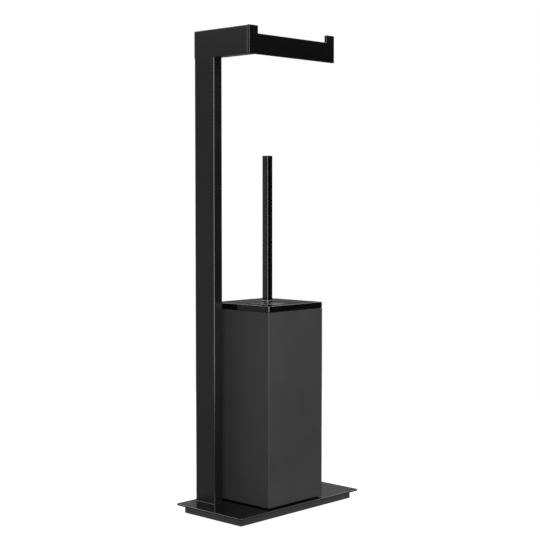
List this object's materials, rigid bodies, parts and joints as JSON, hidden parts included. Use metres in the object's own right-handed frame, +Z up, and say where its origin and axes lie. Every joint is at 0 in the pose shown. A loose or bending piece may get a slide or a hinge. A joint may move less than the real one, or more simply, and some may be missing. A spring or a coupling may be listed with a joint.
{
  "type": "toilet brush holder",
  "caption": "Free-standing bathroom stand: flat weighted base, side post with a roll plate on its arm, and a square lidded container with a removable brush.",
  "frame": {"origin": "under the middle of the base, at floor level", "axes": "+Z up; +X along the base and the roll plate, away from the post; +Y to the back, where the post stands"},
  "size_m": [0.238, 0.1254, 0.65],
  "materials": {
    "stand_lacquer": "semi-gloss black lacquer on steel",
    "container_lacquer": "satin black lacquer on sheet steel",
    "gloss_lacquer": "high-gloss black",
    "bright_metal": "bright plated",
    "zinc_steel": "zinc-plated",
    "ballast_steel": "raw, lightly oiled",
    "black_rubber": "matt",
    "pot_plastic": "moulded, fine grain",
    "black_plastic": "moulded",
    "black_nylon": "nylon filament"
  },
  "bodies": {
    "stand": {"base_plate": "stand_lacquer", "base_skirt": "stand_lacquer", "base_ballast": "ballast_steel", "base_foot_1": "black_rubber", "base_foot_2": "black_rubber", "base_foot_3": "black_rubber", "base_foot_4": "black_rubber", "ballast_nut_1": "zinc_steel", "ballast_nut_2": "zinc_steel", "ballast_nut_3": "zinc_steel", "ballast_nut_4": "zinc_steel", "post_tube": "stand_lacquer", "post_foot_insert": "zinc_steel", "post_washer_1": "zinc_steel", "post_washer_2": "zinc_steel", "post_bolt_1": "zinc_steel", "post_bolt_2": "zinc_steel", "arm_tube": "stand_lacquer", "arm_rear_cap": "black_plastic", "arm_front_block": "zinc_steel", "arm_grub_screw": "zinc_steel", "roll_plate": "stand_lacquer", "roll_plate_stud_1": "zinc_steel", "roll_plate_stud_2": "zinc_steel"},
    "container": {"container_shell": "container_lacquer", "container_pad_1": "black_rubber", "container_pad_2": "black_rubber", "container_pad_3": "black_rubber", "container_pad_4": "black_rubber"},
    "pot": {"inner_pot": "pot_plastic"},
    "lid": {"lid": "gloss_lacquer"},
    "brush": {"cover_disc": "gloss_lacquer", "disc_seal": "black_rubber", "disc_lock_nut": "zinc_steel", "handle_collar": "bright_metal", "handle_tube": "gloss_lacquer", "handle_cap": "gloss_lacquer", "handle_rod": "zinc_steel", "brush_stem": "black_plastic", "brush_core": "black_plastic", "bristles": "black_nylon"}
  },
  "joints": [
    {"name": "container_lift", "type": "slide", "parent": "stand", "child": "container", "axis": [0, 0, 1], "range_m": [0, 0.05]},
    {"name": "pot_lift", "type": "slide", "parent": "container", "child": "pot", "axis": [0, 0, 1], "range_m": [0, 0.24]},
    {"name": "lid_lift", "type": "slide", "parent": "pot", "child": "lid", "axis": [0, 0, 1], "range_m": [0, 0.03]},
    {"name": "brush_lift", "type": "slide", "parent": "lid", "child": "brush", "axis": [0, 0, 1], "range_m": [0, 0.27]}
  ]
}
